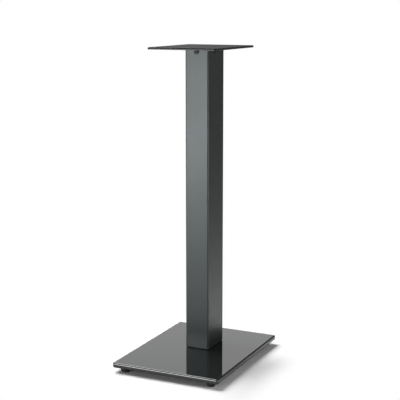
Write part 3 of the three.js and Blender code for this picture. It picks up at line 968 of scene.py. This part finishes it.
def faceScrewPlaces():
    # each screw points at the column's axis; its turn carries +Z there
    height = middle("column_screw_front").z
    gap = columnScrew["seat"]
    return [
        ((columnAxis.x, columnLow.y - gap, height), (-quarterTurn, 0, 0)),
        ((columnHigh.x + gap, columnAxis.y, height), (-quarterTurn, 0, quarterTurn)),
        ((columnAxis.x, columnHigh.y + gap, height), (-quarterTurn, 0, math.pi)),
        ((columnLow.x - gap, columnAxis.y, height), (-quarterTurn, 0, -quarterTurn)),
    ]


def makeScrews(name, look, profile, places, finish, standsFor, sides=48):
    thing = turnedRow(
        name, profile, places, finishes[finish], sides=sides,
        threadPitch=look["pitch"], threadDepth=look["threadDepth"],
    )
    mountPiece(thing, standsFor)


makeScrews(
    "columnScrews", columnScrew, buttonProfile(columnScrew), faceScrewPlaces(),
    "blackScrew", nodeNames("column_screw", ("front", "right", "rear", "left")),
)
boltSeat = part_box("clamp_plate")[0].z
makeScrews(
    "baseBolts", baseBolt, buttonProfile(baseBolt),
    [((spot.x, spot.y, boltSeat), (0, 0, 0)) for spot in boltSpots],
    "zinc", nodeNames("base_bolt", corners),
)


boltBush = {"wall": 2 * mm, "chamfer": 0.4 * mm}


def bushProfile(look):
    low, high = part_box("bolt_bush_front_left")
    outer = (high.x - low.x) / 2
    inner = outer - look["wall"]
    height = high.z - low.z
    edge = look["chamfer"]
    return [
        (inner, edge), (inner + edge, 0), (outer - edge, 0), (outer, edge),
        (outer, height - edge), (outer - edge, height), (inner + edge, height),
        (inner, height - edge), (inner, edge),
    ]


bushes = turnedRow("boltBushes", bushProfile(boltBush), standOn("bolt_bush"), finishes["nylon"])
mountPiece(bushes, nodeNames("bolt_bush", corners))

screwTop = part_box("top_plate_screw")[1].z
makeScrews(
    "topPlateScrew", topScrew, sunkProfile(topScrew),
    [((columnAxis.x, columnAxis.y, screwTop), (math.pi, 0, 0))],
    "blackScrew", ["top_plate_screw"], sides=60,
)


cableGrommet = {
    "boreRadius": 8 * mm, "holeRadius": 12 * mm, "flangeRadius": 15 * mm, "flange": 2 * mm,
    "groove": 2.6 * mm, "lip": 1.5 * mm, "lipRadius": 13.5 * mm, "seat": 0.3 * mm,
    "edgeRound": 1 * mm, "edgeSteps": 6, "flangeBreak": 0.1 * mm,
    "lipBreak": (0.15 * mm, 0.12 * mm), "boreBreak": 0.3 * mm,
}


def grommetProfile(look):
    # heights grow into the column; the outer flange lies on the face at the seat
    bore, hole, flange = look["boreRadius"], look["holeRadius"], look["flangeRadius"]
    seat, groove, lip = look["seat"], look["groove"], look["lipRadius"]
    edge, steps = look["edgeRound"], look["edgeSteps"]
    inside = groove + look["lip"]
    outside = -look["flange"] + edge
    corner = look["flangeBreak"]
    lipInset, lipRise = look["lipBreak"]
    end = look["boreBreak"]
    profile = arcPoints(bore + edge, outside, edge, 180, 270, steps)
    profile += arcPoints(flange - edge, outside, edge, -90, 0, steps)
    profile += [(flange, seat - corner), (flange - corner, seat), (hole, seat)]
    profile += [(hole, groove), (lip - lipInset, groove), (lip, groove + lipRise)]
    profile += [(hole, inside), (bore + end, inside), (bore, inside - end)]
    profile.append(profile[0])
    return profile


def grommetPlaces(look):
    face = columnHigh.y + look["seat"]
    spots = [middle("cable_grommet_" + end) for end in ("lower", "upper")]
    return [((spot.x, face, spot.z), (-quarterTurn, 0, math.pi)) for spot in spots]


grommets = turnedRow(
    "cableGrommets", grommetProfile(cableGrommet), grommetPlaces(cableGrommet),
    finishes["gasketRubber"], sides=72,
)
mountPiece(grommets, ["cable_grommet_lower", "cable_grommet_upper"])


# solids kept from the frame, with their finishes
keptSolids = {
    "top_fitting": "castAlloy", "clamp_plate": "zinc", "clamp_gasket": "gasketRubber",
    "column_foot_plate": "columnPaint",
}
for nodeName, finish in keptSolids.items():
    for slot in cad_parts[nodeName].material_slots:
        slot.material = finishes[finish]
print("solids kept from the frame:", len(keptSolids))


# place in metres, turns in degrees, lens and sensor in the camera's millimetres
photoView = {
    "place": (0.8409, -1.7701, 0.6863), "yaw": 25.251, "pitch": -10.658,
    "lens": 93.18, "sensor": 36, "near": 0.05, "far": 60,
}
camera = newObject("photoCamera", bpy.data.cameras.new("photoCamera"))
camera.location = photoView["place"]
camera.rotation_euler = (
    math.radians(90 + photoView["pitch"]), 0, math.radians(photoView["yaw"]),
)
camera.data.sensor_width = photoView["sensor"]
camera.data.lens = photoView["lens"]
camera.data.clip_start = photoView["near"]
camera.data.clip_end = photoView["far"]
scene.camera = camera


studioFloor = {
    "size": 40.0, "white": (0.95, 0.95, 0.95),
    "whiteFrom": 0.03, "whiteTo": 0.09,  # metres outside the base where it turns plain white
    "sheetLow": (-0.95, -1.5), "sheetHigh": (0.36, 0.4),  # the lit part that mirrors see
    "dimReach": 0.5, "dimLevel": 0.2,  # how mirrors see the floor outside it
}


def makeFloor(look):
    half = look["size"] / 2
    mesh = bpy.data.meshes.new("studioFloor")
    square = [(-half, -half, 0), (half, -half, 0), (half, half, 0), (-half, half, 0)]
    mesh.from_pydata(square, [], [(0, 1, 2, 3)])
    floor = newObject("studioFloor", mesh)
    material = bpy.data.materials.new("studioFloor")
    material.use_nodes = True
    tree = material.node_tree
    tree.nodes.clear()
    axes = splitAxes(tree, tree.nodes.new("ShaderNodeTexCoord").outputs["Object"])

    def outside(low, high):
        # the distance from a rectangle, 0 inside it
        reach = []
        for axis, least, most in (("X", low[0], high[0]), ("Y", low[1], high[1])):
            above = calc(tree, "SUBTRACT", axes[axis], most)
            past = calc(tree, "MAXIMUM", above, calc(tree, "SUBTRACT", least, axes[axis]))
            reach.append(calc(tree, "POWER", calc(tree, "MAXIMUM", past, 0), 2))
        return calc(tree, "SQRT", calc(tree, "ADD", *reach))

    rays = tree.nodes.new("ShaderNodeLightPath").outputs
    seen = rays["Is Camera Ray"]
    mirrored = calc(tree, "MULTIPLY", rays["Is Glossy Ray"], calc(tree, "SUBTRACT", 1, seen))
    fade = remap(
        tree, outside(baseLow, baseHigh), look["whiteFrom"], look["whiteTo"], 0, 1, "SMOOTHSTEP",
    )
    whiten = calc(tree, "MULTIPLY", seen, fade)
    beyond = outside(look["sheetLow"], look["sheetHigh"])
    further = calc(tree, "DIVIDE", beyond, calc(tree, "ADD", beyond, look["dimReach"]))
    dim = calc(tree, "MULTIPLY", mirrored, further)
    glow = calc(tree, "ADD", seen, calc(tree, "MULTIPLY", mirrored, look["dimLevel"]))
    diffuse = addNode(
        tree, "ShaderNodeBsdfDiffuse", {"Color": (*look["white"], 1)},
    ).outputs["BSDF"]
    light = addNode(tree, "ShaderNodeEmission", {"Strength": glow}).outputs["Emission"]
    share = calc(tree, "ADD", whiten, dim)
    mixed = addNode(tree, "ShaderNodeMixShader", {0: share, 1: diffuse, 2: light}).outputs[0]

    # the camera sees through the floor from below
    backfacing = tree.nodes.new("ShaderNodeNewGeometry").outputs["Backfacing"]
    under = calc(tree, "MULTIPLY", backfacing, seen)
    clear = tree.nodes.new("ShaderNodeBsdfTransparent").outputs["BSDF"]
    oneSided = addNode(tree, "ShaderNodeMixShader", {0: under, 1: mixed, 2: clear}).outputs[0]
    addNode(tree, "ShaderNodeOutputMaterial", {"Surface": oneSided})
    mesh.materials.append(material)


makeFloor(studioFloor)


# sizes and places in metres
softboxes = {
    "keySoftbox": {
        "place": (-0.97, -2.08, 0.26), "aim": (0, 0, 0.26), "size": (1.0, 0.5),
        "radiance": 13.0,
    },
    "mainSoftbox": {
        "place": (-1.45, 0.6, 2.2), "aim": (0, 0, 0), "size": (1.7, 1.7), "radiance": 8.2,
    },
    "sideSoftbox": {
        "place": (0.95, -0.2, 0.26), "aim": (0, 0, 0.26), "size": (0.3, 0.5), "radiance": 8.0,
    },
    "backPanel": {
        "place": (-0.5, 1.0, 0.39), "aim": (0, 0, 0.39), "size": (0.85, 0.26),
        "radiance": 0.76,
    },
}
wattsPerRadiance = 4  # for each square metre of an area light


def aimedLight(name, look):
    lamp = bpy.data.lights.new(name, "AREA")
    lamp.shape = "RECTANGLE"
    lamp.size, lamp.size_y = look["size"]
    lamp.energy = wattsPerRadiance * look["radiance"] * lamp.size * lamp.size_y
    thing = newObject(name, lamp)
    thing.location = look["place"]
    thing.rotation_mode = "QUATERNION"
    aim = Vector(look["aim"]) - Vector(look["place"])
    thing.rotation_quaternion = aim.to_track_quat("-Z", "Y")
    thing.visible_camera = False


for name, look in softboxes.items():
    aimedLight(name, look)

studioWorld = {
    "seen": 1.0, "diffuse": 0.06,
    # what mirrors see, with its heights in degrees
    "horizon": 0.23, "above": 0.11, "aboveFrom": 4, "aboveTo": 26,
}


def makeWorld(look):
    world = bpy.data.worlds.new("studioWorld")
    scene.world = world
    world.use_nodes = True
    tree = world.node_tree
    tree.nodes.clear()
    view = splitAxes(tree, tree.nodes.new("ShaderNodeTexCoord").outputs["Generated"])
    up = calc(tree, "ARCSINE", view["Z"])
    mirrored = remap(
        tree, up, math.radians(look["aboveFrom"]), math.radians(look["aboveTo"]),
        look["horizon"], look["above"],
    )
    rays = tree.nodes.new("ShaderNodeLightPath").outputs
    seen = calc(tree, "MAXIMUM", rays["Is Camera Ray"], rays["Is Transmission Ray"])
    glossy = calc(tree, "MULTIPLY", rays["Is Glossy Ray"], calc(tree, "SUBTRACT", 1, seen))
    rest = calc(tree, "SUBTRACT", 1, calc(tree, "ADD", seen, glossy))
    strength = calc(tree, "MULTIPLY", seen, look["seen"])
    strength = calc(tree, "ADD", strength, calc(tree, "MULTIPLY", glossy, mirrored))
    strength = calc(tree, "ADD", strength, calc(tree, "MULTIPLY", rest, look["diffuse"]))
    shader = addNode(
        tree, "ShaderNodeBackground", {"Color": (1, 1, 1, 1), "Strength": strength},
    ).outputs["Background"]
    addNode(tree, "ShaderNodeOutputWorld", {"Surface": shader})


makeWorld(studioWorld)
scene.view_settings.view_transform = "Standard"
print("stage, light and camera made")
